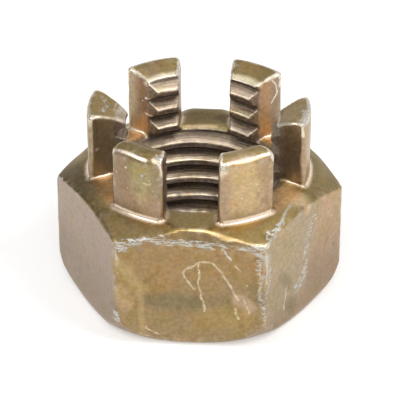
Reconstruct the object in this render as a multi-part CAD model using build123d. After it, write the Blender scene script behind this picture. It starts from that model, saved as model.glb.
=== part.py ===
from build123d import *
import math
import os

# Castle nut, in millimetres. It stands on its bearing face, thread axis up +Z, castle on top.
# Two corners of the hexagon lie on the X axis, and one slot runs along Y.

# Hexagon
across_flats = 24.0
corner_radius = 0.7            # rounding of the upright corners
foot_edge_radius = 0.8         # rounding of the flats' lower edges

# Heights above the bearing face
floor_height = 12.6            # floors of the slots
castle_height = 6.8            # prongs above those floors, before their tops are rounded

# Crown, from the foot of the castle out to the corners
crown_drop = 1.65              # the corners lie this far below the slot floors
shoulder_width = 0.5           # flat ring left round the foot of the castle

# Rounded foot of the hexagon
bearing_diameter = 21.2        # flat ring that the nut bears on
foot_height = 3.9              # the foot curves up this far at the corners
foot_tapers = 4                # turned tapers that follow the curve

# Castle
castle_diameter = 21.2
prong_count = 6                # even: each slot runs right across the nut
slot_width = 4.9
castle_foot_width = 0.3        # sloping root where a prong meets the shoulder
prong_corner_radius = 0.4      # upright outer corners of a prong
prong_top_radius = 0.35        # rounding along the top edges of a prong, but for the bore's
prong_top_angle = 16.0         # the tops fall towards the bore, in degrees

# Bore, tapped M16 x 2, kept here at the thread's minor diameter
thread_diameter = 16.0
thread_pitch = 2.0
bore_stock = 0.1               # steel left inside each prong before the bore is cut
entry_clearance = 0.2          # the chamfer at the bearing face opens this far past the thread
slot_bevel_width = 2.2         # bevel at the bore end of each slot floor
slot_bevel_angle = 30.0        # in degrees below the floor

# Worked out from the sizes above
apothem = across_flats / 2
corner_reach = apothem / math.cos(math.pi / 6)
total_height = floor_height + castle_height
castle_radius = castle_diameter / 2
shoulder_radius = castle_radius + shoulder_width
bore_radius = thread_diameter / 2 - 0.54127 * thread_pitch
entry_radius = thread_diameter / 2 + entry_clearance
slot_step = 360 / prong_count
touch = 0.001                  # closer than this counts as the same place


def reach(item):
    """Distance of an edge's or a corner's middle from the thread axis."""
    return math.hypot(item.center().X, item.center().Y)


def turned(outline):
    """Solid of revolution about the thread axis from an outline in radius and height."""
    return revolve(Plane.XZ * make_face(outline), Axis.Z)


def foot_curve():
    """Points of a quarter of an ellipse, from the bearing ring out and up to the corners."""
    bearing_radius = bearing_diameter / 2
    turns = [math.pi / 2 * taper / foot_tapers for taper in range(foot_tapers + 1)]
    return [
        (bearing_radius + (corner_reach - bearing_radius) * math.sin(turn), foot_height * (1 - math.cos(turn)))
        for turn in turns
    ]


def hexagon():
    """Six-sided bar with rounded corners and rounded lower edges, turned above and below."""
    bar = extrude(RegularPolygon(apothem, 6, major_radius=False), floor_height)
    bar = fillet(bar.edges().filter_by(Axis.Z), corner_radius)
    bar = fillet(bar.edges().group_by(Axis.Z)[0], foot_edge_radius)
    crown = [(corner_reach, floor_height - crown_drop), (shoulder_radius, floor_height)]
    return bar & turned(Polyline([(0, 0)] + foot_curve() + crown + [(0, floor_height), (0, 0)]))


def slot_plan():
    """Plan of the slots: bars across the nut, one for each pair of facing slots."""
    bar = Rectangle(slot_width, 2 * across_flats)
    return Sketch() + [Rot(Z=slot_step * turn) * bar for turn in range(prong_count // 2)]


def prong():
    """One prong of the castle, with rounded outer corners and a rounded top that falls inwards."""
    core_radius = bore_radius - bore_stock
    plans = Circle(castle_radius) - Circle(core_radius) - slot_plan()
    plan = Sketch() + plans.faces().sort_by(Axis.X)[-1]
    middle = (castle_radius + core_radius) / 2
    plan = fillet([corner for corner in plan.vertices() if reach(corner) > middle], prong_corner_radius)

    tilt = math.radians(prong_top_angle)
    top_plane = Plane((castle_radius, 0, total_height), z_dir=(-math.sin(tilt), 0, math.cos(tilt)))
    column = extrude(Plane.XY.offset(floor_height) * plan, castle_height)
    column = split(column, bisect_by=top_plane, keep=Keep.BOTTOM)
    top = column.faces().sort_by(Axis.Z)[-1]
    return fillet([edge for edge in top.edges() if reach(edge) > core_radius + touch], prong_top_radius)


def bore():
    """Hole of the thread's minor diameter, opened by a chamfer at the bearing face."""
    return turned(Polyline(
        (0, 0), (entry_radius, 0), (bore_radius, entry_radius - bore_radius),
        (bore_radius, total_height), (0, total_height), (0, 0),
    ))


def slot_bevels():
    """Sloping cut at the bore end of every slot floor."""
    bevel_reach = bore_radius + slot_bevel_width
    depth = bevel_reach * math.tan(math.radians(slot_bevel_angle))
    cone = turned(Polyline(
        (0, floor_height), (bevel_reach, floor_height), (0, floor_height - depth), (0, floor_height)
    ))
    return cone & extrude(Plane.XY.offset(floor_height - depth) * slot_plan(), depth)


def castle_nut():
    """The whole nut, one piece of steel: hexagon, castle, bore and slots."""
    one_prong = prong()
    nut = hexagon() + [Rot(Z=slot_step * turn) * one_prong for turn in range(prong_count)] - bore()
    on_floor = nut.edges().filter_by_position(Axis.Z, floor_height - touch, floor_height + touch)
    feet = [edge for edge in on_floor if bore_radius + touch < reach(edge) < castle_radius + touch]
    nut = chamfer(feet, castle_foot_width)
    return nut - slot_bevels()


nut = castle_nut()
nut.label = "castle_nut"
os.makedirs("parts", exist_ok=True)
export_step(nut, "parts/castle_nut.step")
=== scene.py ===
# Castle nut of plated steel, scuffed and worn, on a pale studio floor
import math

import bpy
import numpy as np
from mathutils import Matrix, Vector


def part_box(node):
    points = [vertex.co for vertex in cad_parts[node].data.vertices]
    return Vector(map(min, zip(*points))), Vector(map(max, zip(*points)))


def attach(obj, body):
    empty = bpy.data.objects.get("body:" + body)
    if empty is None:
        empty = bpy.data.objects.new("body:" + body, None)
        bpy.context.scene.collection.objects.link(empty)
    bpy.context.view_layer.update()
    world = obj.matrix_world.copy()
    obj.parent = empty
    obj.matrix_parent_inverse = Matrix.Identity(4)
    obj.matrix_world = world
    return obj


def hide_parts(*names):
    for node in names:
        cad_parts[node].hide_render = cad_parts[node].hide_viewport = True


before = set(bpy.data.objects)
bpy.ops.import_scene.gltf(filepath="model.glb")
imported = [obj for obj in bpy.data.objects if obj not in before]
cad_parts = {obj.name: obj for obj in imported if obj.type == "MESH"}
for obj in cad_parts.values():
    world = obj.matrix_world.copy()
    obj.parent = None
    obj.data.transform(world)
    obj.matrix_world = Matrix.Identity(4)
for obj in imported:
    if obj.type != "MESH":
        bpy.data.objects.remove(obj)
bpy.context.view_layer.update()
nutLow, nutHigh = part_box("castle_nut")
print("frame loaded")

mm = 0.001    # the shape below is worked out in millimetres

nut = {
    "flats": (nutHigh.y - nutLow.y) / mm,
    "height": (nutHigh.z - nutLow.z) / mm,
    "floorHeight": 12.6,          # slot floors
    "cornerRadius": 0.72,         # upright corners of the hexagon
    "cornerWear": 0.3,            # how much more the worst worn stretches are rounded
    "crownDrop": 1.6,             # corners below the slot floors
    "crownStart": 10.9,           # radius where the crown begins to fall
    "crownBlend": 0.6,
    "crownLift": 0.9,             # the crown is fuller at both ends of the slot along Y
    "liftEnd": (2.9, 3.3),        # out to here from the slot's middle, in front and behind
    "liftFull": (0.2, 1.2),       # and wholly so up to here
    "shoulderEdge": 0.17,         # rounding between crown and flats
    "shoulderWear": 0.3,
    "footStart": 10.6,            # radius of the flat ring underneath
    "footHeight": 3.9,
    "footEdge": 0.65,             # rounding between foot and flats
    "footCorner": 13.3,           # it runs out at this radius
    "footRun": 1.2,               # and starts to shrink this far inside it
    "footLeast": 0.06,
    "wearSize": 1.7,              # of the worn stretches
    "wave": 0.05,                 # gentle unevenness of the forged faces
    "waveSize": 3.4,
}
castle = {
    "radius": 10.6,
    "slotWidth": 4.9,
    "cornerRadius": 0.5,          # upright outer corners of a prong
    "outerEdge": 0.5,             # edge between a prong's top and its outer face
    "sideEdge": 0.3,              # edges between its top and the slots
    "edgeWear": 0.25,
    "cornerBand": (9.6, 10.3),    # between these radii the side edges grow into the corners
    "behind": (-9, 3),            # between these y the front prongs' sizes turn into the back ones'
    "topRadius": (9.3, 10.3),     # the tops are highest here, on the front prongs and the back ones
    "topOver": (-0.1, 0.2),       # the front ones are beaten lower
    "innerFall": 22.0,            # degrees, towards the bore
    "outerFall": (24.0, 4.0),
    "topBlend": 0.6,              # rounding of the ridge along a top
    "sinkRadius": 7.5,            # the countersink at the thread's upper end meets the tops here
    "sinkHeight": 18.35,
    "sinkBlend": 0.4,
    "footRadius": 0.36,           # hollow between a prong and the crown
    "rimRadius": 0.08,            # edge between a prong and the thread
    "bevelReach": 8.4,            # bevel at the slots' inner ends
    "bevelAngle": 30.0,
    "bevelEdge": 0.12,
    "slotBearings": (30, 90, 150),
}
thread = {
    "pitch": 2.0,
    "minor": 6.917,
    "major": 8.0,
    "crest": 0.5,                 # width of a ridge's flat
    "ridgeHeight": 17.15,         # of one ridge, where it crosses the back slot
    "ridgeBearing": 90.0,
    "crestRound": 0.06,
    "crestWear": 0.25,
    "rootRound": 0.12,
    "entryRadius": 8.2,           # chamfer underneath
    "entryRound": 0.08,
}
# the front face has one more bevel, rolled along its upper edge
frontBevel = {
    "height": 11.2,
    "sink": 0.06,                 # it comes down this much for each millimetre to the right
    "narrower": 0.3,              # at its left end
    "narrowAt": (-0.8, -2.6),     # between these x
    "angle": 25.0,
    "blend": 0.3,
}
meshing = {
    "step": 0.204,                # size of a cell
    "slides": 2,                  # how often each crossing is slid onto the surface
    "pull": 0.08,                 # holds a corner to the middle of its crossings
    "slack": 0.1,                 # a corner may leave its cell by this many cells
    "gentlest": 0.2,              # the last move takes no slope's square as less than this
    "lastMove": 0.3,              # in cells
    "shadeSpan": 0.03,            # reach of the slopes that the shading follows
}
cornerReach = nut["flats"] / 2 / math.cos(math.pi / 6)


def unit(degrees):
    return math.cos(math.radians(degrees)), math.sin(math.radians(degrees))


def onFlat(bearing, along, z, inside=0.02):
    # a point of one of the six flats, in millimetres
    out = nut["flats"] / 2 - inside
    c, s = unit(bearing)
    return out * c - along * s, out * s + along * c, z


# dings, each as its centre, reach and depth
dings = [
    (*onFlat(270, 6.9, 10.8), 0.5, 0.16),
    (*onFlat(270, -6.9, 10.9), 0.45, 0.13),
    (7.2, -10.3, 11.5, 0.5, 0.1),
    (7.9, -11.1, 11.1, 0.55, 0.12),
    (*onFlat(270, -2.7, 11.9), 0.6, 0.09),
    (*onFlat(270, -4.3, 11.5), 0.5, 0.07),
    (*onFlat(330, -3.3, 6.4), 0.45, 0.1),
    (*onFlat(330, -2.6, 4.6), 0.35, 0.07),
    (*onFlat(330, 0.2, 6.5), 0.3, 0.07),
    (*onFlat(330, 1.4, 9.8), 0.4, 0.07),
    (*onFlat(330, 0.6, 8.3), 0.4, 0.06),
    (*onFlat(330, 2.2, 11.2), 0.3, 0.06),
    (*onFlat(270, 5.2, 6.2), 0.5, 0.06),
    (*onFlat(270, 6.2, 4.4), 0.45, 0.08),
    (*onFlat(270, 5.6, 5.0), 0.3, 0.05),
    (*onFlat(210, 0.9, 5.2), 0.4, 0.04),
    (*onFlat(210, -4.8, 11.5), 0.4, 0.07),
    (-10.6, -2.7, 12.5, 0.3, 0.06),
    (-6.2, -8.6, 17.4, 0.25, 0.06),
    (6.1, -8.7, 16.0, 0.25, 0.07),
    (6.4, -8.5, 15.1, 0.3, 0.07),
    (5.8, -8.9, 16.9, 0.18, 0.08),
    (-3.9, -9.8, 15.7, 0.25, 0.05),
    (4.5, -9.6, 14.9, 0.22, 0.05),
    (-2.7, -10.2, 18.5, 1.0, 0.3),
    (2.6, -10.3, 18.6, 0.8, 0.2),
    (-2.5, 9.9, 19.1, 0.55, 0.12),
    (2.5, 9.6, 19.1, 0.6, 0.12),
    (9.9, 3.2, 18.9, 0.5, 0.12),
    (10.4, -2.9, 18.9, 1.4, 0.45),
    (*onFlat(150, 2.6, 8.0), 0.6, 0.08),
    (*onFlat(90, -3.1, 6.2), 0.5, 0.06),
    (*onFlat(30, 2.2, 9.1), 0.6, 0.07),
    (*onFlat(90, 4.4, 10.6), 0.6, 0.1),
]


class Grain:
    # smooth seeded noise in space, from 0 to 1
    def __init__(self, seed, size=32):
        self.size = size
        self.table = np.random.default_rng(seed).random((size, size, size)).astype(np.float32)

    def at(self, points, scale):
        q = np.asarray(points, dtype=np.float32) / scale
        base = np.floor(q).astype(np.int64)
        f = q - base
        f = f * f * (3 - 2 * f)
        total = 0
        for dx in (0, 1):
            for dy in (0, 1):
                for dz in (0, 1):
                    weight = (
                        (f[..., 0] if dx else 1 - f[..., 0])
                        * (f[..., 1] if dy else 1 - f[..., 1])
                        * (f[..., 2] if dz else 1 - f[..., 2])
                    )
                    index = (base + (dx, dy, dz)) % self.size
                    total = total + weight * self.table[index[..., 0], index[..., 1], index[..., 2]]
        return total


wearGrain = Grain(3)
faceGrain = Grain(11)
tintGrain = Grain(29)


def ease(start, end, value):
    t = np.clip((value - start) / (end - start), 0, 1)
    return t * t * (3 - 2 * t)


def between(ends, share):
    return ends[0] + (ends[1] - ends[0]) * share


def roundMax(a, b, radius):
    # what lies in both shapes, the edge they share rounded
    return np.minimum(np.maximum(a, b), -radius) + np.hypot(
        np.maximum(a + radius, 0), np.maximum(b + radius, 0)
    )


def roundMin(a, b, radius):
    # what lies in either shape, the hollow between them filleted
    return np.maximum(np.minimum(a, b), radius) - np.hypot(
        np.maximum(radius - a, 0), np.maximum(radius - b, 0)
    )


def hexagonField(x, y, apothem):
    # distance from a hexagon with flats across Y, folded into one sixth of it
    kx, ky, kz = -math.cos(math.pi / 6), 0.5, math.tan(math.pi / 6)
    px, py = np.abs(x), np.abs(y)
    fold = 2 * np.minimum(kx * px + ky * py, 0)
    px, py = px - fold * kx, py - fold * ky
    px = px - np.clip(px, -kz * apothem, kz * apothem)
    py = py - apothem
    return np.hypot(px, py) * np.sign(py)


def footField(r, z):
    # turned underside: a quarter ellipse from the bearing ring up to the corners
    a, b = cornerReach - nut["footStart"], nut["footHeight"]
    u = np.maximum(r - nut["footStart"], 0) / a
    v = np.maximum(b - z, 0) / b
    size = np.hypot(u, v) + 1e-6
    return (size - 1) / (np.hypot(u / a, v / b) / size + 1e-6)


def bodyField(p, worn):
    x, y, z = p[..., 0], p[..., 1], p[..., 2]
    r = np.hypot(x, y)
    radius = nut["cornerRadius"] + nut["cornerWear"] * worn
    flats = hexagonField(x, y, nut["flats"] / 2 - radius) - radius

    liftEnd = np.where(y < 0, *nut["liftEnd"])
    liftFull = np.where(y < 0, *nut["liftFull"])
    lift = nut["crownLift"] * ease(liftEnd, liftFull, np.abs(x))
    fall = nut["crownDrop"] / (cornerReach - nut["crownStart"])
    crown = (z - nut["floorHeight"] - lift + (r - nut["crownStart"]) * fall) / math.hypot(1, fall)
    floor = z - nut["floorHeight"]
    bevel = math.radians(castle["bevelAngle"])
    well = (floor + (castle["bevelReach"] - r) * math.tan(bevel)) * math.cos(bevel)
    top = roundMax(roundMax(crown, floor, nut["crownBlend"]), well, castle["bevelEdge"])

    narrower = frontBevel["narrower"] * ease(*frontBevel["narrowAt"], x)
    low = frontBevel["height"] - frontBevel["sink"] * x + narrower
    c, s = unit(frontBevel["angle"])
    rolled = s * (z - low) - c * (y + nut["flats"] / 2)
    edge = nut["shoulderEdge"] + nut["shoulderWear"] * worn
    outside = roundMax(roundMax(flats, rolled, frontBevel["blend"]), top, edge)
    foot = nut["footEdge"] * np.clip((nut["footCorner"] - r) / nut["footRun"], nut["footLeast"], 1)
    return roundMax(outside, footField(r, z), foot)


def castleField(p, worn):
    x, y, z = p[..., 0], p[..., 1], p[..., 2]
    r = np.hypot(x, y)
    walls = None
    for bearing in castle["slotBearings"]:
        c, s = unit(bearing)
        wall = castle["slotWidth"] / 2 - np.abs(y * c - x * s)
        walls = wall if walls is None else np.maximum(walls, wall)
    behind = ease(*castle["behind"], y)
    inner = math.radians(castle["innerFall"])
    outer = np.radians(between(castle["outerFall"], behind))
    over = z - nut["height"] - between(castle["topOver"], behind)
    away = r - between(castle["topRadius"], behind)
    tops = roundMax(
        (over - away * math.tan(inner)) * math.cos(inner),
        (over + away * np.tan(outer)) * np.cos(outer),
        castle["topBlend"],
    )
    sink = (z - castle["sinkHeight"] - r + castle["sinkRadius"]) / math.sqrt(2)
    tops = roundMax(tops, sink, castle["sinkBlend"])
    side = castle["sideEdge"] + castle["edgeWear"] * worn
    upright = castle["cornerRadius"] + castle["edgeWear"] * worn
    post = roundMax(r - castle["radius"], tops, castle["outerEdge"])
    post = roundMax(post, walls, side + (upright - side) * ease(*castle["cornerBand"], r))
    return np.maximum(post, nut["floorHeight"] / 2 - z)


def threadField(p, worn):
    # positive in the hole, negative in the steel round it
    x, y, z = p[..., 0], p[..., 1], p[..., 2]
    r = np.hypot(x, y)
    turn = (np.degrees(np.arctan2(y, x)) - thread["ridgeBearing"]) / 360
    phase = (z - thread["ridgeHeight"]) / thread["pitch"] - turn
    away = np.abs(phase - np.round(phase)) * thread["pitch"]
    crest = thread["minor"] - r
    flank = (crest + (away - thread["crest"] / 2) * math.sqrt(3)) / 2
    ridge = roundMax(crest, flank, thread["crestRound"] + thread["crestWear"] * worn)
    wall = roundMin(ridge, thread["major"] - r, thread["rootRound"])
    entry = (thread["entryRadius"] - z - r) / math.sqrt(2)
    return roundMax(wall, entry, thread["entryRound"])


def dingField(p):
    faded = 6    # in squares of a ding's reach
    deep = np.zeros(p.shape[:-1])
    for x, y, z, reach, depth in dings:
        far = ((p - (x, y, z)) ** 2).sum(-1) / reach ** 2
        near = far < faded
        deep[near] += depth * np.exp(-far[near])
    return deep


def nutField(p):
    # negative inside the steel, positive outside it, zero on the surface
    worn = wearGrain.at(p, nut["wearSize"]) ** 3
    block = roundMin(bodyField(p, worn), castleField(p, worn), castle["footRadius"])
    block = block + nut["wave"] * faceGrain.at(p, nut["waveSize"]) + dingField(p)
    return roundMax(block, threadField(p, worn), castle["rimRadius"])


def fieldSlope(p, h=0.01):
    slope = np.empty_like(p)
    for axis in range(3):
        step = np.zeros(3)
        step[axis] = h
        slope[..., axis] = (nutField(p + step) - nutField(p - step)) / (2 * h)
    return slope


def fieldBend(p, span):
    # both curvatures added up: positive on an edge, negative in a hollow
    total = -6 * nutField(p)
    for axis in range(3):
        step = np.zeros(3)
        step[axis] = span
        total = total + nutField(p + step) + nutField(p - step)
    return total / span ** 2


def unitRows(v):
    return v / np.maximum(np.linalg.norm(v, axis=-1, keepdims=True), 1e-9)


def edgeCrossings(step):
    # grid edges that the surface crosses, each with the four cells round it
    reach = np.array([cornerReach, cornerReach, nut["height"] / 2]) + 3 * step
    low = np.array([0, 0, nut["height"] / 2]) - reach
    shape = np.ceil(2 * reach / step).astype(int) + 1
    axes = [low[k] + step * np.arange(shape[k]) for k in range(3)]
    values = np.empty(shape)
    for i, x in enumerate(axes[0]):
        layer = np.stack(np.meshgrid([x], axes[1], axes[2], indexing="ij"), -1)
        values[i] = nutField(layer)[0]
    inside = values < 0

    points, cells, flips = [], [], []
    for axis in range(3):
        a = [slice(None)] * 3
        b = [slice(None)] * 3
        a[axis], b[axis] = slice(None, -1), slice(1, None)
        start = np.argwhere(inside[tuple(a)] != inside[tuple(b)])
        end = start.copy()
        end[:, axis] += 1
        va, vb = values[tuple(start.T)], values[tuple(end.T)]
        point = low + step * start
        point[:, axis] += step * va / (va - vb)
        ring = []
        for d1, d2 in ((1, 1), (0, 1), (0, 0), (1, 0)):
            cell = start.copy()
            cell[:, (axis + 1) % 3] -= d1
            cell[:, (axis + 2) % 3] -= d2
            ring.append(np.ravel_multi_index(tuple(cell.T), shape))
        points.append(point)
        cells.append(np.stack(ring, 1))
        flips.append(va > 0)
    return low, shape, np.concatenate(points), np.concatenate(cells), np.concatenate(flips)


def surfaceMesh(step):
    # dual contouring: one corner per crossed cell, where the planes of its crossings meet
    low, shape, point, cell, flip = edgeCrossings(step)
    for _ in range(meshing["slides"]):
        slope = fieldSlope(point)
        point = point - slope * (nutField(point) / (slope ** 2).sum(-1))[:, None]
    normal = unitRows(fieldSlope(point))

    used, local = np.unique(cell.ravel(), return_inverse=True)
    each = local.ravel()
    count = len(used)
    share = np.bincount(each, minlength=count)

    def gather(data):
        return np.bincount(each, np.repeat(data, 4), count)

    middle = np.stack([gather(point[:, k]) / share for k in range(3)], 1)
    offset = (np.repeat(normal, 4, 0) * (np.repeat(point, 4, 0) - middle[each])).sum(-1)
    system = np.empty((count, 3, 3))
    target = np.empty((count, 3))
    for i in range(3):
        target[:, i] = np.bincount(each, np.repeat(normal[:, i], 4) * offset, count)
        for j in range(3):
            system[:, i, j] = gather(normal[:, i] * normal[:, j])
    system += meshing["pull"] * np.eye(3)
    corner = middle + np.linalg.solve(system, target[..., None])[..., 0]
    cellLow = low + step * np.stack(np.unravel_index(used, shape), 1)
    slack, most = meshing["slack"], meshing["lastMove"]
    corner = np.clip(corner, cellLow - slack * step, cellLow + (1 + slack) * step)
    slope = fieldSlope(corner)
    move = slope * (nutField(corner) / np.maximum((slope ** 2).sum(-1), meshing["gentlest"]))[:, None]
    corner = corner - np.clip(move, -most * step, most * step)
    local = local.reshape(cell.shape)
    return corner, np.where(flip[:, None], local[:, ::-1], local)


def meshObject(name, corners, quads):
    mesh = bpy.data.meshes.new(name)
    mesh.vertices.add(len(corners))
    mesh.vertices.foreach_set("co", (corners * mm).ravel())
    mesh.loops.add(quads.size)
    mesh.loops.foreach_set("vertex_index", quads.ravel())
    mesh.polygons.add(len(quads))
    mesh.polygons.foreach_set("loop_start", np.arange(0, quads.size, 4))
    mesh.update(calc_edges=True)
    mesh.validate()
    mesh.shade_smooth()
    piece = bpy.data.objects.new(name, mesh)
    bpy.context.scene.collection.objects.link(piece)
    return piece


corners, quads = surfaceMesh(meshing["step"])
print("surface", len(corners), "corners", len(quads) * 2, "triangles")
body = meshObject("nut_body", corners, quads)
normals = unitRows(fieldSlope(corners, meshing["shadeSpan"]))
body.data.normals_split_custom_set_from_vertices(normals.tolist())

# the plating's colours from place to place
plating = {
    "front": (0.345, 0.225, 0.105),
    "frontLow": (0.315, 0.225, 0.115),
    "left": (0.36, 0.265, 0.195),
    "leftLow": (0.305, 0.22, 0.155),
    "right": (0.475, 0.325, 0.195),
    "rightLow": (0.335, 0.23, 0.145),
    "rightScuff": (0.40, 0.32, 0.205),
    "back": (0.41, 0.30, 0.17),
    "olive": (0.265, 0.19, 0.08),
    "gold": (0.36, 0.25, 0.095),
    "straw": (0.46, 0.34, 0.17),
    "pink": (0.42, 0.29, 0.18),
    "copper": (0.47, 0.315, 0.20),
    "orange": (0.62, 0.42, 0.24),
    "shade": (0.32, 0.24, 0.165),
    "shadeLeft": (0.41, 0.32, 0.20),
    "russet": (0.27, 0.15, 0.09),
    "ember": (0.50, 0.315, 0.18),
    "haze": (0.27, 0.205, 0.13),
    "moss": (0.42, 0.35, 0.18),
    "darkOlive": (0.22, 0.17, 0.09),
    "rose": (0.50, 0.36, 0.25),
    "brown": (0.28, 0.215, 0.165),
    "umber": (0.17, 0.115, 0.085),
    "deepOlive": (0.10, 0.07, 0.022),
    "flank": (0.70, 0.54, 0.40),
    "edge": (0.95, 0.82, 0.62),
    "cutSteel": (0.41, 0.335, 0.165),
    # the next four are painted light and painted highlights
    "bright": (0.60, 0.43, 0.23),
    "goldHighlight": (0.95, 0.72, 0.38),
    "pinkHighlight": (1.0, 0.80, 0.65),
    "paintedGlow": (0.86, 0.63, 0.38),
}
# the flats' tints by bearing, above and lower down
flatTints = {270: ("front", "frontLow"), 210: ("left", "leftLow"), 330: ("right", "rightLow")}
hiddenTints = ("back", "frontLow")
# patches where the plating took another colour, and some of painted light, marked below: tint, share, reach,
# and a line through each
patches = [
    ("darkOlive", 0.8, 0.9, onFlat(270, -4.3, 5.0), onFlat(270, 0.6, 4.9)),
    ("darkOlive", 0.4, 0.7, onFlat(270, 0.6, 4.9), onFlat(270, 3.4, 5.3)),
    ("gold", 0.8, 0.8, onFlat(270, -7.2, 8.6), onFlat(270, -5.0, 6.4)),
    ("straw", 0.5, 0.5, onFlat(270, -6.9, 9.3), onFlat(270, -4.4, 6.3)),
    ("gold", 0.7, 1.3, onFlat(270, 1.8, 3.2), onFlat(270, 4.8, 3.6)),
    ("straw", 0.5, 0.35, onFlat(270, -4.6, 5.8), onFlat(270, -4.4, 0.8)),
    ("orange", 0.4, 0.8, onFlat(270, -6.6, 5.6), onFlat(270, -5.9, 4.6)),
    ("rose", 0.7, 0.7, onFlat(270, 4.6, 5.4), onFlat(270, 5.6, 4.6)),
    ("darkOlive", 0.5, 0.6, onFlat(270, 5.9, 7.0), onFlat(270, 6.6, 5.2)),
    ("darkOlive", 0.5, 0.6, onFlat(270, 0.0, 12.0), onFlat(270, 3.6, 11.5)),
    ("darkOlive", 0.7, 0.9, onFlat(330, -2.5, 2.6), onFlat(330, -1.9, 2.2)),
    ("darkOlive", 0.5, 0.6, onFlat(330, -3.9, 6.6), onFlat(330, -2.6, 5.0)),
    ("darkOlive", 0.5, 0.7, onFlat(330, -6.2, 1.2), onFlat(330, -2.5, 0.9)),
    # painted light on the right prong's top
    ("straw", 0.7, 1.6, (9.6, -1.0, 19.0), (9.6, 2.0, 19.0)),
    # painted highlight along the front bevel's upper edge
    (
        "goldHighlight", 0.7, 0.14,
        (0.0, -11.35, 12.55), (1.4, -11.35, 12.45), (3.2, -11.5, 12.06), (6.6, -11.9, 11.3),
    ),
    ("straw", 0.6, 0.5, (-8.2, -6.7, 18.0), (-8.4, -6.4, 13.5)),
    # painted light on the front right prong's face
    ("bright", 0.8, 1.6, (4.6, -9.5, 18.0), (5.0, -9.3, 14.6)),
    ("orange", 0.6, 1.1, (-5.6, 6.0, 14.2), (-6.4, 6.2, 13.0)),
    ("edge", 0.9, 0.4, (-2.5, 7.7, 18.4), (-4.0, 7.0, 18.4), (-5.4, 5.9, 18.4)),
    ("edge", 0.9, 0.4, (2.5, 7.7, 18.4), (4.0, 7.0, 18.4), (5.4, 5.9, 18.4)),
    # painted highlight along the front left prong's outer top edge
    ("pinkHighlight", 0.5, 0.14, (-6.4, -8.1, 18.6), (-5.7, -8.55, 18.7), (-4.2, -9.5, 18.5)),
    ("moss", 0.7, 1.0, (-5.0, -9.4, 17.4), (-4.8, -9.5, 14.9)),
    ("brown", 0.4, 0.5, (-3.0, -10.1, 18.0), (-3.0, -10.1, 13.2)),
    ("brown", 0.3, 0.6, (-7.7, -7.3, 18.0), (-7.7, -7.3, 13.4)),
    ("copper", 0.5, 1.1, (-4.2, -9.8, 14.2), (-3.2, -10.1, 13.6)),
    ("brown", 0.25, 0.6, (3.0, -10.1, 18.0), (3.0, -10.1, 13.2)),
    ("brown", 0.7, 0.22, onFlat(270, -6.3, 10.55), onFlat(270, -6.2, 10.45)),
    ("brown", 0.5, 0.22, onFlat(270, -4.6, 10.6), onFlat(270, -4.5, 10.5)),
    # painted light on the front right slot's floor, and a painted highlight on the back slot's bevel
    ("paintedGlow", 0.7, 1.5, (8.0, -4.2, 12.6), (9.0, -5.0, 12.6)),
    ("paintedGlow", 0.6, 0.25, (-2.0, 8.1, 12.6), (1.0, 8.35, 12.6)),
    ("edge", 0.8, 0.25, (-3.3, -9.5, 18.65), (-2.75, -9.7, 18.4), (-2.6, -9.9, 17.5)),
    ("edge", 0.9, 0.4, (2.6, -10.15, 18.5), (2.9, -10.2, 18.1)),
]
# patches that lie under those, on what faces up: the crown, the slot floors and a prong's top
crownPatches = [
    # painted shade on the crown's left, which faces a dark part of the room
    ("deepOlive", 0.8, 1.9, (-12.6, -0.6, 12.0), (-10.6, -4.6, 12.2)),
    ("deepOlive", 0.45, 0.7, (-10.4, -6.0, 12.3), (-8.6, -8.4, 12.3)),
    # the next two are painted shade on the back slot's floor, between the prongs
    ("deepOlive", 0.42, 1.0, (-1.0, 10.2, 12.6), (1.0, 10.2, 12.6)),
    ("deepOlive", 0.6, 0.8, (1.9, 10.2, 12.6), (2.4, 9.6, 12.6)),
    ("deepOlive", 0.28, 1.6, (3.4, -11.2, 12.5), (6.6, -10.4, 12.2)),
    # painted shade on the left slot's floor
    ("shade", 0.35, 1.3, (-8.0, -4.2, 12.6), (-9.4, -5.2, 12.6)),
    ("gold", 0.5, 1.6, (-1.5, -9.4, 12.6), (1.5, -9.4, 12.6)),
    ("haze", 0.6, 1.6, (-4.2, 7.6, 18.9), (-5.6, 9.0, 19.1)),
]
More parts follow.
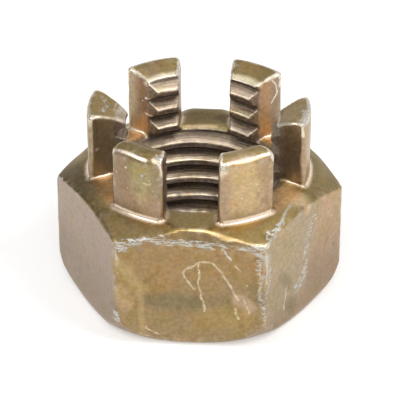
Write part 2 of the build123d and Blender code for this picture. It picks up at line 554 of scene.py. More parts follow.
# streaks scuffed down to the zinc: share, reach, and the line that each follows
scuffs = [
    (1.0, 0.55, onFlat(270, -6.9, 10.9), onFlat(270, -6.2, 10.5)),
    (1.0, 0.45, onFlat(270, -6.1, 11.1), onFlat(270, -4.4, 11.6), onFlat(270, -2.6, 11.6)),
    (1.0, 0.3, onFlat(270, -3.4, 11.9), onFlat(270, -1.8, 12.3), onFlat(270, -0.6, 12.4)),
    (1.0, 0.4, onFlat(270, -3.0, 11.4), onFlat(270, -0.6, 11.5), onFlat(270, 1.6, 11.2)),
    (1.0, 0.22, onFlat(270, 1.6, 11.4), onFlat(270, 4.4, 11.2), onFlat(270, 6.6, 10.9)),
    (1.0, 0.5, onFlat(270, 6.3, 10.9), onFlat(270, 6.9, 10.4)),
    (1.0, 0.4, onFlat(270, -7.0, 3.2), onFlat(270, -6.7, 2.0)),
    (0.75, 0.4, (8.4, -8.6, 12.0), (7.6, -9.9, 11.7), (7.3, -11.0, 11.3)),
    (1.0, 0.4, onFlat(330, -6.8, 10.6), onFlat(330, -6.4, 9.2)),
    (0.7, 0.5, onFlat(330, 1.8, 10.3), onFlat(330, 1.0, 9.2), onFlat(330, 0.8, 8.6)),
    (0.74, 0.6, onFlat(330, 0.5, 7.7), onFlat(330, 0.2, 6.9)),
    (0.72, 0.6, onFlat(330, 0.5, 6.0), onFlat(330, 0.1, 4.8), onFlat(330, -1.1, 3.8)),
    (
        0.66, 0.35,
        (6.4, -12.0, 9.8), (6.6, -11.95, 7.7), (6.45, -12.0, 6.1), (6.9, -11.9, 4.4), (7.0, -11.75, 3.3),
    ),
    (0.68, 0.3, (7.3, -11.3, 10.3), (7.35, -11.2, 8.6), (7.35, -11.2, 6.9), (7.1, -11.7, 5.8)),
    (0.66, 0.35, (-4.4, -9.65, 17.1), (-4.35, -9.65, 16.5)),
    (1.0, 0.3, onFlat(210, -6.6, 11.0), onFlat(210, -5.4, 11.6)),
    (1.0, 0.4, (-3.0, -10.2, 18.2), (-2.6, -10.3, 17.9)),
    (1.0, 0.45, (2.5, -10.3, 18.7), (2.9, -10.2, 18.4)),
    (1.0, 0.4, (-2.5, 9.9, 19.1), (-2.5, 7.6, 18.5)),
    (1.0, 0.4, (2.6, 9.8, 19.0), (3.2, 8.4, 18.6)),
    (0.75, 0.25, (-9.4, 1.6, 19.0), (-8.7, 0.4, 18.8), (-9.3, -2.0, 18.9)),
    (0.85, 0.45, (-2.9, -9.5, 18.6), (-2.8, -8.6, 18.6)),
    (1.0, 0.4, (10.2, -2.2, 19.0), (10.3, 2.0, 19.0)),
    (1.0, 0.3, (-3.6, -9.7, 16.4), (-3.2, -9.9, 15.2)),
    (1.0, 0.5, (13.6, 0.2, 10.9), (13.6, -0.1, 10.2)),
    (1.0, 0.5, onFlat(90, 3.4, 11.8), onFlat(90, 1.6, 12.0)),
    (1.0, 0.5, onFlat(150, -2.0, 11.6), onFlat(150, 0.4, 11.8)),
    (1.0, 0.5, onFlat(30, 3.8, 11.4), onFlat(30, 2.2, 9.1)),
]


def lineNearness(p, spots, reach, rough=0.7):
    # 1 on the line through the spots, falling to 0 beyond its reach
    nearest = np.full(len(p), 1e9)
    for start, end in zip(spots, spots[1:]):
        start, run = np.array(start), np.subtract(end, start)
        share = np.clip((p - start) @ run / (run @ run), 0, 1)
        nearest = np.minimum(nearest, np.linalg.norm(p - start - share[:, None] * run, axis=1))
    wobble = 1 + rough * (tintGrain.at(p + 90, 0.9) - 0.5)
    return ease(1.5, 0.4, nearest / reach * wobble)


def blendTo(base, tint, share):
    return base + (np.array(tint) - base) * share[:, None]


def mixedTint(first, second, share):
    return blendTo(np.array([plating[first]]), plating[second], share)


class Skin:
    # the nut's surface, with what its colours and wear are worked out from
    def __init__(self, p, n):
        self.p, self.n = p, n
        self.x, self.y, self.z = p.T
        self.r = np.hypot(self.x, self.y)
        # 1 where it faces up, and 1 where it faces away from the bore
        self.up = n[:, 2]
        self.out = (n[:, 0] * self.x + n[:, 1] * self.y) / np.maximum(self.r, 1e-3)
        self.drift = tintGrain.at(p, 5.0)
        self.patch = tintGrain.at(p + 40, 2.2)
        self.crown = ease(0.35, 0.72, self.up + 0.3 * (self.patch - 0.5))    # its edge is uneven


def flatColours(skin):
    # each flat has its own tint above and another lower down
    low = ease(9.5, 3.5, skin.z + 3 * (skin.drift - 0.5))
    total = np.full((len(skin.p), 3), 1e-6)
    weights = np.full(len(skin.p), 1e-6)
    for bearing in range(30, 390, 60):
        c, s = unit(bearing)
        weight = np.clip(skin.n[:, 0] * c + skin.n[:, 1] * s, 0, 1) ** 8
        total += mixedTint(*flatTints.get(bearing, hiddenTints), low) * weight[:, None]
        weights += weight
    colour = total / weights[:, None]

    # the right face is scuffed on its side towards the front
    along = skin.x * 0.5 + skin.y * math.cos(math.pi / 6)    # away from the front
    scuffed = ease(2.4, 1.2, along + 0.25 * (9 - skin.z)) * ease(1.5, 4.0, skin.z)
    onRight = np.clip(skin.n @ np.array([*unit(330), 0]), 0, 1) ** 8
    return blendTo(colour, plating["rightScuff"], scuffed * onRight * (0.5 + 0.5 * skin.patch))


def castleColours(skin, colour):
    # the prongs' outer faces
    x, z = skin.x, skin.z
    above = ease(12.75, 13.1, z)
    upright = ease(0.55, 0.3, skin.up)
    bands = tintGrain.at(np.stack([x, skin.y, 0.12 * z], 1) + 70, 1.5)
    outer = mixedTint("straw", "pink", ease(0.35, 0.65, bands))
    outer = blendTo(outer, plating["copper"], 0.55 * ease(15.5, 13.0, z + 2 * (skin.drift - 0.5)))
    outer = outer * (0.88 + 0.14 * np.tanh(x))[:, None]    # painted shade, darker on the left
    colour = blendTo(colour, outer, ease(0.6, 0.85, skin.out) * above * upright)

    # the walls of the slots, painted darker on the left as shade, and the outermost ones with painted shade
    # where they face the front
    wall = ease(0.7, 0.4, np.abs(skin.out)) * above * upright
    atLeft = ease(0.5, -0.5, x)
    colour = blendTo(colour, mixedTint("ember", "russet", atLeft), wall * 0.9)
    shaded = wall * ease(6.0, 7.0, np.abs(x)) * ease(0.2, -0.2, skin.n[:, 1])
    return blendTo(colour, mixedTint("shade", "shadeLeft", atLeft), shaded * 0.85)


def slotColours(skin, colour):
    z, r = skin.z, skin.r
    # painted reflection: orange patches on the slot floors stand in for the light that the slot walls throw
    # on them
    onFloor = ease(0.8, 0.95, skin.up) * ease(0.3, 0.1, np.abs(z - nut["floorHeight"]))
    onFloor = onFloor * ease(11.6, 10.4, r) * ease(2.0, 4.0, np.abs(skin.x))
    colour = blendTo(colour, plating["orange"], onFloor * ease(0.2, 0.5, skin.patch))
    for name, share, reach, *spots in crownPatches:
        colour = blendTo(colour, plating[name], share * skin.crown * lineNearness(skin.p, spots, reach))
    rim = castle["bevelReach"]
    bevel = ease(0.3, 0.45, -skin.out) * ease(rim + 0.2, rim - 0.1, r)
    bevel = bevel * ease(11.8, 12.0, z) * ease(12.75, 12.6, z)
    return blendTo(colour, plating["cutSteel"], bevel)


def threadColours(skin, colour):
    # painted light and shade: the ridges' upper sides are painted bright and their roots and undersides
    # dark, more so on some rows than on others, with a painted highlight along the crests
    z, r = skin.z, skin.r
    inBore = ease(8.12, 8.02, r) * ease(0.15, 0.0, z + (r - 7.6) * 0.3 - castle["sinkHeight"])
    deep = ease(7.0, 7.95, r)                 # 0 on the crests, 1 in the roots
    onProngs = ease(12.0, 12.8, z)
    topRow = ease(10.8, 11.2, z)
    nextRows = ease(12.0, 11.0, z) * ease(8.0, 9.0, z)
    lowRows = ease(7.6, 5.6, z)
    paintedLight = ease(0.15, 0.45, skin.up) * (1 - deep) ** (1.1 - 0.7 * onProngs)
    paintedLight = paintedLight * (0.8 - 0.15 * onProngs) * (1 - 0.35 * topRow * (1 - onProngs))
    paintedLight = paintedLight * (1 + 0.6 * nextRows - 0.7 * lowRows)
    tint = mixedTint("brown", "flank", paintedLight)
    # painted shade on the ridges' undersides
    underside = ease(0.3, 0.1, deep) * ease(0.12, -0.05, skin.up)
    tint = blendTo(tint, plating["umber"], underside * 0.8)
    crestBreaks = tintGrain.at(skin.p + 20, 0.5)
    # painted highlight along the crests' upper edges, broken up by noise
    crestHighlight = ease(0.2, 0.05, deep) * ease(0.12, 0.35, skin.up) * (0.75 - 0.35 * topRow)
    tint = blendTo(tint, plating["edge"], crestHighlight * ease(0.15, 0.6, crestBreaks))
    atSides = ease(5.6, 6.2, np.abs(skin.x)) * ease(12.6, 12.9, z)    # painted shade on the thread of the prongs on the left and right
    tint = blendTo(tint, plating["brown"], atSides * 0.8)
    return blendTo(colour, tint, inBore)


def platingColours(skin):
    colour = flatColours(skin)
    colour = blendTo(colour, mixedTint("olive", "gold", ease(0.35, 0.7, skin.drift)), skin.crown)
    colour = slotColours(skin, castleColours(skin, colour))
    for name, share, reach, *spots in patches:
        colour = blendTo(colour, plating[name], share * lineNearness(skin.p, spots, reach))
    return threadColours(skin, colour)


def scuffShare(p):
    most = np.zeros(len(p))
    for share, reach, *spots in scuffs:
        most = np.maximum(most, share * lineNearness(p, spots, reach, 1.2))
    return most


def wearShare(skin):
    # how much of an edge's plating is rubbed off, from place to place
    tops = ease(17.2, 18.2, skin.z) * (0.6 + 0.4 * ease(8.4, 10.0, skin.r))
    tops = tops * (1 - 0.4 * ease(-7, -9, skin.x))
    keptPlating = lineNearness(skin.p, [(-8.1, -6.9, 19.0), (-8.2, -6.9, 17.0)], 1.2)
    tops = tops * (1 - 0.7 * keptPlating)
    bearing = np.degrees(np.arctan2(skin.y, skin.x)) % 360
    fromCorner = np.abs((bearing - 300 + 180) % 360 - 180)    # the front right one, in degrees
    corner = 0.6 * ease(9.0, 3.0, fromCorner) * ease(12.8, 12.4, skin.z) * ease(2.6, 3.6, skin.z)
    return np.clip(0.1 + tops + corner, 0, 1)


def storeLooks(mesh, skin):
    # colours and wear, in attributes that the material reads
    colours = np.column_stack([platingColours(skin), np.ones(len(skin.p))])
    layer = mesh.attributes.new("plating", "FLOAT_COLOR", "POINT")
    layer.data.foreach_set("color", colours.astype(np.float32).ravel())

    # in the hollows: a painted highlight at the prongs' feet, and painted shade everywhere else
    bend = fieldBend(skin.p, 0.22)
    feet = ease(8.1, 8.4, skin.r) * ease(14.0, 13.6, skin.z) * ease(12.2, 12.5, skin.z)
    values = {
        "rub": ease(0.6, 3.2, bend) * wearShare(skin),
        "hollow": ease(-0.4, -2.6, bend) * (1 - feet),
        # painted highlight in the hollow at the prongs' feet
        "footHighlight": ease(-0.9, -2.3, bend) * feet * (0.5 + 0.5 * ease(10.2, 10.6, skin.r)),
        "broadRub": ease(0.15, 1.3, fieldBend(skin.p, 0.6)),
        "scuff": scuffShare(skin.p),
        "cut": ease(8.15, 7.95, skin.r),
    }
    for name, share in values.items():
        layer = mesh.attributes.new(name, "FLOAT", "POINT")
        layer.data.foreach_set("value", share.astype(np.float32))


storeLooks(body.data, Skin(corners, normals))
print("colours and wear stored")


class Graph:
    # short names for the few kinds of node that the steel and the studio use
    def __init__(self, tree):
        self.tree = tree

    def node(self, kind, **settings):
        made = self.tree.nodes.new(kind)
        for name, value in settings.items():
            setattr(made, name, value)
        return made

    def feed(self, socket, value):
        if isinstance(value, bpy.types.NodeSocket):
            self.tree.links.new(value, socket)
        else:
            socket.default_value = value

    def calc(self, operation, a, b=0.0, c=0.0, clamp=False):
        made = self.node("ShaderNodeMath", operation=operation, use_clamp=clamp)
        for socket, value in zip(made.inputs, (a, b, c)):
            self.feed(socket, value)
        return made.outputs[0]

    def vector(self, operation, a, b=(0, 0, 0), scale=None):
        made = self.node("ShaderNodeVectorMath", operation=operation)
        self.feed(made.inputs[0], a)
        self.feed(made.inputs[1], b)
        if scale is not None:
            self.feed(made.inputs["Scale"], scale)
        return made.outputs["Value" if operation in ("DOT_PRODUCT", "LENGTH", "DISTANCE") else "Vector"]

    def ramp(self, value, start, end, low=0.0, high=1.0):
        made = self.node("ShaderNodeMapRange", interpolation_type="SMOOTHSTEP", clamp=True)
        names = ("Value", "From Min", "From Max", "To Min", "To Max")
        for name, given in zip(names, (value, start, end, low, high)):
            self.feed(made.inputs[name], given)
        return made.outputs[0]

    def noise(self, at, scale, detail=2.0, roughness=0.5, shift=(0, 0, 0)):
        # the shift keeps one noise from lying on top of another
        shifted = self.vector("ADD", at, shift)
        made = self.node("ShaderNodeTexNoise")
        self.feed(made.inputs["Vector"], shifted)
        made.inputs["Scale"].default_value = scale
        made.inputs["Detail"].default_value = detail
        made.inputs["Roughness"].default_value = roughness
        return made.outputs[0]

    def mix(self, share, a, b, blend="MIX"):
        made = self.node("ShaderNodeMix", data_type="RGBA", blend_type=blend)
        self.feed(made.inputs[0], share)
        self.feed(made.inputs[6], a)    # 6 and 7 are the colour sockets
        self.feed(made.inputs[7], b)
        return made.outputs[2]

    def tinted(self, share, colour, tint):
        return self.mix(share, colour, self.mix(1.0, colour, tint, "MULTIPLY"))

    def value(self, name):
        return self.node("ShaderNodeAttribute", attribute_name=name).outputs["Fac"]

    def bump(self, height, distance, strength, normal=None):
        made = self.node("ShaderNodeBump")
        self.feed(made.inputs["Height"], height)
        made.inputs["Distance"].default_value = distance * mm
        made.inputs["Strength"].default_value = strength
        if normal is not None:
            self.feed(made.inputs["Normal"], normal)
        return made.outputs[0]


def scratchGroup():
    # one straight scratch: how far a point is from the line from Start to End, in widths of the scratch,
    # or from the nearest line before it
    group = bpy.data.node_groups.new("scratchLine", "ShaderNodeTree")
    for name, kind in (
        ("Point", "Vector"), ("Start", "Vector"), ("End", "Vector"), ("Width", "Float"), ("Before", "Float")
    ):
        group.interface.new_socket(name, in_out="INPUT", socket_type="NodeSocket" + kind)
    group.interface.new_socket("Off", in_out="OUTPUT", socket_type="NodeSocketFloat")
    g = Graph(group)
    given = g.node("NodeGroupInput").outputs
    toPoint = g.vector("SUBTRACT", given["Point"], given["Start"])
    run = g.vector("SUBTRACT", given["End"], given["Start"])
    share = g.calc(
        "DIVIDE", g.vector("DOT_PRODUCT", toPoint, run), g.vector("DOT_PRODUCT", run, run), clamp=True
    )
    off = g.vector("DISTANCE", toPoint, g.vector("SCALE", run, scale=share))
    nearest = g.calc("MINIMUM", given["Before"], g.calc("DIVIDE", off, given["Width"]))
    group.links.new(nearest, g.node("NodeGroupOutput").inputs[0])
    return group


def speckles(g, point, scale, size):
    # one dot in each cell of the pattern
    cells = g.node("ShaderNodeTexVoronoi", feature="F1")
    g.feed(cells.inputs["Vector"], point)
    cells.inputs["Scale"].default_value = scale
    return g.ramp(cells.outputs["Distance"], size, size * 0.45)


# scratches, as a flat's bearing, the width in millimetres and the line's points along and up that flat
paleScratches = [
    (270, 0.16, ((0.7, 9.4), (-0.6, 8.3), (-0.6, 7.8), (0.5, 6.5))),
    (270, 0.14, ((0.9, 9.5), (0.85, 6.6), (1.4, 4.1))),
    (270, 0.16, ((0.9, 9.5), (2.1, 9.5), (3.0, 8.4), (4.5, 5.5))),
    (270, 0.15, ((4.2, 4.5), (4.5, 3.4))),
    (270, 0.12, ((4.2, 9.3), (4.7, 8.7))),
    (270, 0.11, ((-4.2, 1.9), (-2.8, 1.3))),
    (270, 0.1, ((5.0, 5.4), (5.6, 3.9))),
    (270, 0.14, ((6.4, 9.6), (6.6, 7.7))),
    (270, 0.14, ((6.6, 7.5), (6.4, 6.1))),
    (330, 0.2, ((-6.7, 11.1), (-6.4, 9.6), (-6.4, 7.2))),
    (330, 0.13, ((-3.0, 4.9), (-3.4, 2.6))),
    (150, 0.13, ((-3.0, 9.0), (-1.2, 6.1))),
    (90, 0.14, ((-2.0, 9.4), (1.2, 7.6))),
    (30, 0.13, ((1.0, 8.0), (1.6, 4.4))),
]
zincScratches = [
    (270, 0.17, ((3.0, 10.9), (3.9, 9.9))),
    (270, 0.15, ((-6.9, 11.0), (-6.8, 9.1))),
    (270, 0.13, ((-1.6, 11.3), (0.1, 11.25), (2.4, 10.9))),
    (270, 0.12, ((-1.0, 12.1), (2.6, 11.4))),
    (270, 0.12, ((2.8, 11.1), (6.7, 10.8))),
]


def flatLines(lines):
    return [(width, [onFlat(bearing, *spot) for spot in spots]) for bearing, width, spots in lines]


paleLines = flatLines(paleScratches) + [
    (0.13, [(-4.4, -9.62, 16.35), (-4.1, -9.76, 16.18), (-3.6, -9.95, 16.42)]),
    (0.15, [(6.0, -8.75, 16.1), (6.5, -8.4, 16.0)]),
    (0.13, [(6.2, -8.6, 15.3), (6.6, -8.3, 15.1), (6.9, -8.1, 15.2)]),
]
zincLines = flatLines(zincScratches) + [
    (0.2, [(9.2, -5.7, 12.5), (8.5, -7.4, 12.3), (8.1, -9.1, 11.9), (7.4, -10.8, 11.4), (7.2, -11.8, 11.0)]),
    (0.14, [(8.1, -9.1, 11.9), (8.5, -9.6, 11.6)]),
]
# the brightest ones: painted highlights along the prongs' beaten top edges, and bright nicks in their sides
brightLines = [
    (0.24, [(-7.3, -7.45, 18.43), (-5.69, -8.54, 18.69), (-4.2, -9.5, 18.5)]),
    (0.22, [(-3.5, -9.5, 18.68), (-2.72, -9.68, 18.45), (-2.6, -9.87, 17.6)]),
    (0.22, [(2.55, -9.8, 18.4), (3.71, -9.51, 18.72), (7.07, -7.54, 18.69)]),
    (0.16, [(-5.61, 6.08, 16.62), (-5.3, 5.92, 16.55), (-5.04, 5.8, 16.66)]),
    (0.16, [(-5.63, 6.1, 14.95), (-5.32, 5.92, 14.84), (-5.01, 5.75, 14.84)]),
    (0.11, [(6.58, 6.65, 18.77), (6.96, 6.88, 18.22), (7.07, 6.96, 17.31), (6.6, 6.68, 16.2)]),
    (0.18, [(-9.4, -2.57, 15.66), (-9.5, -2.63, 15.56)]),
    (0.16, [(-6.14, -8.58, 17.25), (-6.08, -8.61, 17.24)]),
    (0.14, [(4.6, -9.57, 14.93), (4.66, -9.54, 14.9)]),
]


def scratchMarks(g, point, group, lines):
    off = 9.0    # far from every line, in widths
    for width, spots in lines:
        for start, end in zip(spots, spots[1:]):
            line = g.node("ShaderNodeGroup", node_tree=group)
            g.feed(line.inputs["Point"], point)
            line.inputs["Start"].default_value = start
            line.inputs["End"].default_value = end
            line.inputs["Width"].default_value = width
            g.feed(line.inputs["Before"], off)
            off = line.outputs[0]
    return g.ramp(off, 1.0, 0.3)


finish = {
    # painted shade for the hollows
    "hollowShade": (0.035, 0.024, 0.016, 1),
    "stain": (0.12, 0.075, 0.04, 1),
    "worn": (0.82, 0.73, 0.58, 1),
    "pale": (0.70, 0.60, 0.42, 1),
    # painted highlight in the hollows at the prongs' feet
    "footHighlight": (0.95, 0.76, 0.59, 1),
    "zinc": (0.60, 0.58, 0.52, 1),
    "glint": (0.97, 0.83, 0.70, 1),
    "oliveShift": (0.93, 0.955, 0.80, 1),
    "copperShift": (1.07, 0.94, 0.82, 1),
    "metallic": 0.85,
    "roughness": 0.325,
    "boreRoughness": 0.1,         # added to it where the tap has cut
    "hollowRoughness": 0.3,         # and where the hollows are painted dark
    "wornPolish": 0.1,            # taken off it where edges are rubbed
    "stainShare": 0.3,            # how far each mark hides what is under it
    "wornShare": 0.85,
    "zincShare": 0.9,
    "paleShare": 0.8,
    "glintShare": 0.9,
    "pitShare": 0.25,
    "speckShare": 0.8,
}


def blotched(g, colour, place):
    # blotches of the chromate, olive ones and coppery ones
    blotch = g.noise(place, 0.42, 3, 0.6)
    warm = g.noise(place, 0.55, 3, 0.6, (31, 7, 12))
    colour = g.tinted(g.ramp(blotch, 0.46, 0.66), colour, finish["oliveShift"])
    return g.tinted(g.ramp(warm, 0.5, 0.72, 0, 0.8), colour, finish["copperShift"])


def tapNoise(g, place):
    # lines that run round the bore
    axes = g.node("ShaderNodeSeparateXYZ")
    g.feed(axes.inputs[0], place)
    flat = g.node("ShaderNodeCombineXYZ")
    g.feed(flat.inputs[0], axes.outputs[0])
    g.feed(flat.inputs[1], axes.outputs[1])
    distance = g.vector("LENGTH", flat.outputs[0])
    ring = g.node("ShaderNodeCombineXYZ")
    g.feed(ring.inputs[0], distance)
    g.feed(ring.inputs[1], axes.outputs[2])
    return g.noise(ring.outputs[0], 4.5, 2, 0.7)


def rubbedBright(g, colour, place, rub, broad, footHighlight):
    # edges rubbed bright, in patches, and the painted highlight in the hollows at the prongs' feet
    patchy = g.noise(place, 1.3, 4, 0.65, (14, 2, 27))
    rubbed = g.calc("ADD", rub, g.calc("MULTIPLY", patchy, 0.9))
    worn = g.calc("MULTIPLY", g.ramp(rubbed, 0.8, 1.25), finish["wornShare"])
    colour = g.mix(worn, colour, finish["worn"])
    colour = g.mix(g.calc("MULTIPLY", broad, g.ramp(patchy, 0.45, 0.75, 0, 0.3)), colour, finish["worn"])
    colour = g.mix(g.calc("MULTIPLY", footHighlight, g.ramp(patchy, 0.3, 0.6, 0.65, 0.8)), colour, finish["footHighlight"])
    return colour, worn


def scratched(g, colour, place):
    # the lines are shaken so that they don't look ruled, and broken up
    wobble = g.node("ShaderNodeTexNoise")
    g.feed(wobble.inputs["Vector"], place)
    wobble.inputs["Scale"].default_value = 0.9
    drift = g.vector("SUBTRACT", wobble.outputs["Color"], (0.5, 0.5, 0.5))
    shaken = g.vector("ADD", place, g.vector("SCALE", drift, scale=0.6))
    broken = g.ramp(g.noise(place, 3.4, 3, 0.7, (8, 8, 8)), 0.34, 0.56, 0.3, 1.0)
    group = scratchGroup()
    paleMark = g.calc("MULTIPLY", scratchMarks(g, shaken, group, paleLines), broken)
    zincMark = g.calc("MULTIPLY", scratchMarks(g, shaken, group, zincLines), broken)
    steady = g.vector("ADD", place, g.vector("SCALE", drift, scale=0.25))
    brightMark = scratchMarks(g, steady, group, brightLines)
    brightMark = g.calc("MULTIPLY", brightMark, g.ramp(broken, 0.3, 1.0, 0.6, 1.0))
    colour = g.mix(g.calc("MULTIPLY", paleMark, finish["paleShare"]), colour, finish["pale"])
    colour = g.mix(g.calc("MULTIPLY", zincMark, finish["zincShare"]), colour, finish["zinc"])
    return g.mix(g.calc("MULTIPLY", brightMark, finish["glintShare"]), colour, finish["glint"])


def pitted(g, colour, place):
    # dark pits in some places and bright specks in others
    chosen = g.ramp(g.noise(place, 0.6, 2, 0.5, (17, 5, 3)), 0.62, 0.7)
    pit = g.calc("MULTIPLY", speckles(g, place, 0.75, 0.13), chosen)
    colour = g.mix(g.calc("MULTIPLY", pit, finish["pitShare"]), colour, finish["stain"])
    chosen = g.ramp(g.noise(place, 0.5, 2, 0.5, (4, 25, 13)), 0.48, 0.62)
    speck = g.calc("MULTIPLY", speckles(g, g.vector("ADD", place, (7.3, 1.1, 4.7)), 1.1, 0.1), chosen)
    return g.mix(g.calc("MULTIPLY", speck, finish["speckShare"]), colour, finish["worn"]), pit


def platedSteel():
    material = bpy.data.materials.new("platedSteel")
    material.use_nodes = True
    tree = material.node_tree
    shader = tree.nodes["Principled BSDF"]
    g = Graph(tree)
    place = g.vector("SCALE", g.node("ShaderNodeTexCoord").outputs["Object"], scale=1 / mm)
    plated = g.node("ShaderNodeAttribute", attribute_name="plating").outputs["Color"]
    rub, hollow, broad = g.value("rub"), g.value("hollow"), g.value("broadRub")
    scuff, cut, footHighlight = g.value("scuff"), g.value("cut"), g.value("footHighlight")

    # plating, darker and lighter by its grain and the tap's lines
    colour = blotched(g, plated, place)
    grain = g.noise(place, 2.6, 3, 0.6, (5, 3, 9))
    fine = g.noise(place, 8.0, 3, 0.6, (2, 8, 1))
    tone = g.calc("ADD", g.ramp(grain, 0.3, 0.7, -0.13, 0.13), g.ramp(fine, 0.3, 0.7, 0.95, 1.05))
    tapLines = tapNoise(g, place)
    lined = g.calc("MULTIPLY", cut, g.ramp(tapLines, 0.35, 0.65, -0.25, 0.2))
    tone = g.calc("MULTIPLY", tone, g.calc("ADD", 1.0, lined))
    colour = g.vector("SCALE", colour, scale=tone)

    # stains, and painted shade in the hollows, darkest in the bore
    stained = g.ramp(g.noise(place, 0.9, 2, 0.5, (9, 21, 4)), 0.6, 0.76)
    colour = g.mix(g.calc("MULTIPLY", stained, finish["stainShare"]), colour, finish["stain"])
    hollowShade = g.calc("MULTIPLY", hollow, g.ramp(grain, 0.3, 0.6, 0.55, 1.0))
    hollowShade = g.calc("MULTIPLY", hollowShade, g.calc("ADD", 0.12, g.calc("MULTIPLY", cut, 0.5)))
    colour = g.mix(hollowShade, colour, finish["hollowShade"])

    # wear: bright edges, streaks down to the zinc, scratches and pits
    colour, worn = rubbedBright(g, colour, place, rub, broad, footHighlight)
    smear = g.noise(g.vector("MULTIPLY", place, (0.5, 0.5, 2.2)), 3.0, 6, 0.75, (3, 33, 8))
    bare = g.ramp(g.calc("MULTIPLY", scuff, g.ramp(smear, 0.36, 0.64, 0.1, 1.5)), 0.45, 0.8)
    colour = g.mix(g.calc("MULTIPLY", bare, finish["zincShare"]), colour, finish["zinc"])
    colour, pit = pitted(g, scratched(g, colour, place), place)
    g.feed(shader.inputs["Base Color"], colour)

    rough = g.calc("ADD", finish["roughness"], g.ramp(grain, 0.3, 0.7, -0.015, 0.025))
    rough = g.calc("ADD", rough, g.calc("MULTIPLY", cut, finish["boreRoughness"]))
    rough = g.calc("ADD", rough, g.calc("MULTIPLY", hollowShade, finish["hollowRoughness"]))
    polished = g.calc("MAXIMUM", worn, footHighlight)
    rough = g.calc("ADD", rough, g.calc("MULTIPLY", polished, -finish["wornPolish"]))
    g.feed(shader.inputs["Roughness"], rough)
    shader.inputs["Metallic"].default_value = finish["metallic"]

    # bumps, each with its depth in millimetres and its strength
    normal = g.bump(grain, 0.011, 0.35)
    normal = g.bump(fine, 0.008, 0.15, normal)
    normal = g.bump(g.calc("MULTIPLY", cut, tapLines), 0.08, 0.6, normal)
    marks = g.calc("ADD", g.calc("MULTIPLY", pit, 0.2), g.calc("MULTIPLY", bare, smear))
    normal = g.bump(g.calc("MULTIPLY", marks, -1.0), 0.06, 0.8, normal)
    g.feed(shader.inputs["Normal"], normal)
    return material


body.data.materials.append(platedSteel())
print("plated steel made")

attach(body, "root")
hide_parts("castle_nut")

view = {
    "turn": 4.227,                # degrees, to the right of the front face
    "rise": 30.114,               # degrees above the floor
    "distance": 229.107,          # millimetres, as are the next five
    "aimHeight": 12.12,           # the camera turns about this point of the axis
    "aimDown": 2.7245,            # and looks this far below it in the picture
    "aimRight": 0.0971,           # and to its right
    "lens": 215.456,
    "sensor": 36.0,
    "clipStart": 0.01,            # metres
}


def photoCamera():
    turn, rise = math.radians(view["turn"]), math.radians(view["rise"])
    back = Vector((math.sin(turn) * math.cos(rise), -math.cos(turn) * math.cos(rise), math.sin(rise)))
    right = Vector((math.cos(turn), math.sin(turn), 0))
    up = back.cross(right)
    middle = Vector((0, 0, view["aimHeight"]))
    eye = middle + back * view["distance"]
    aim = middle - up * view["aimDown"] + right * view["aimRight"]
    lensData = bpy.data.cameras.new("camera")
    lensData.lens = view["lens"]
    lensData.sensor_width = view["sensor"]
    lensData.clip_start = view["clipStart"]
    cameraObject = bpy.data.objects.new("camera", lensData)
    bpy.context.scene.collection.objects.link(cameraObject)
    cameraObject.location = eye * mm
    cameraObject.rotation_euler = (aim - eye).to_track_quat("-Z", "Y").to_euler()
    bpy.context.scene.camera = cameraObject


photoCamera()
print("camera placed")

studio = {
    "floorSize": 3.0,             # metres
    "floorColour": (0.9, 0.9, 0.9, 1),
    "floorRoughness": 0.8,
    "floorLift": 0.42,            # makes the floor look white in the picture and in reflections
    "fill": 0.35,                 # what the walls and ceiling give
    "backdrop": 1.0,              # how bright they look in the steel, near the horizon
    "walls": 0.6,                 # higher up
    "ceiling": 1.05,              # and overhead
    "sideways": 0.3,              # brighter to the right, darker to the left
    "lampDistance": 0.5,          # metres
    "lampAim": (0, 0, 0.01),
}
lamps = {
    # bearing and height in degrees, size in metres, power in watts
    "frontLight": (0, 46, (0.16, 0.2), 0.5),
    "leftLight": (-66, 46, (0.16, 0.2), 0.5),
    "rightLight": (62, 50, (0.18, 0.2), 0.7),
}


def pictureRays(g):
    # 1 for what the camera sees straight or in a reflection, and 1 for what it sees straight
    paths = g.node("ShaderNodeLightPath").outputs
    seen = g.calc("MAXIMUM", paths["Is Camera Ray"], paths["Is Glossy Ray"])
    return g.calc("MAXIMUM", seen, paths["Is Transmission Ray"]), paths["Is Camera Ray"]


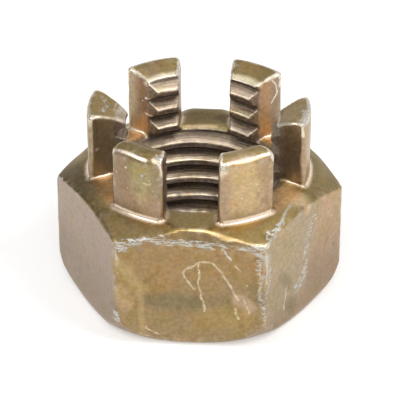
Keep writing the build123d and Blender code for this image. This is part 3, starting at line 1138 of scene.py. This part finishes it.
def studioFloor():
    bpy.ops.mesh.primitive_plane_add(size=studio["floorSize"])
    piece = bpy.context.object
    piece.name = "floor"
    material = bpy.data.materials.new("floorPaint")
    material.use_nodes = True
    shader = material.node_tree.nodes["Principled BSDF"]
    shader.inputs["Base Color"].default_value = studio["floorColour"]
    shader.inputs["Roughness"].default_value = studio["floorRoughness"]
    shader.inputs["Emission Color"].default_value = (1, 1, 1, 1)
    g = Graph(material.node_tree)
    seen = pictureRays(g)[0]
    g.feed(shader.inputs["Emission Strength"], g.calc("MULTIPLY", seen, studio["floorLift"]))
    piece.data.materials.append(material)


def studioWorld():
    world = bpy.data.worlds.new("studio")
    bpy.context.scene.world = world
    world.use_nodes = True
    g = Graph(world.node_tree)
    seen, straight = pictureRays(g)
    axes = g.node("ShaderNodeSeparateXYZ")
    g.feed(axes.inputs[0], g.node("ShaderNodeTexCoord").outputs["Generated"])
    room = g.ramp(axes.outputs[2], 0.05, 0.45, studio["backdrop"], studio["walls"])
    room = g.calc("ADD", room, g.ramp(axes.outputs[2], 0.6, 0.9, 0, studio["ceiling"] - studio["walls"]))
    room = g.calc("ADD", room, g.calc("MULTIPLY", axes.outputs[0], studio["sideways"]))
    room = g.calc("MAXIMUM", room, straight)
    unseen = g.calc("MULTIPLY", g.calc("SUBTRACT", 1.0, seen), studio["fill"])
    strength = g.calc("ADD", g.calc("MULTIPLY", seen, room), unseen)
    background = world.node_tree.nodes["Background"]
    background.inputs["Color"].default_value = (1, 1, 1, 1)
    g.feed(background.inputs["Strength"], strength)


def softbox(name, bearing, height, size, power):
    # bearing in degrees from the camera's side towards its right
    lamp = bpy.data.lights.new(name, "AREA")
    lamp.shape = "RECTANGLE"
    lamp.size, lamp.size_y = size
    lamp.energy = power
    piece = bpy.data.objects.new(name, lamp)
    bpy.context.scene.collection.objects.link(piece)
    c, s = unit(bearing - 90 + view["turn"])
    ch, sh = unit(height)
    aim = Vector(studio["lampAim"])
    piece.location = Vector((c * ch, s * ch, sh)) * studio["lampDistance"] + aim
    piece.rotation_euler = (aim - piece.location).to_track_quat("-Z", "Y").to_euler()


studioFloor()
studioWorld()
for name, settings in lamps.items():
    softbox(name, *settings)
bpy.context.scene.view_settings.view_transform = "Standard"
print("scene built")
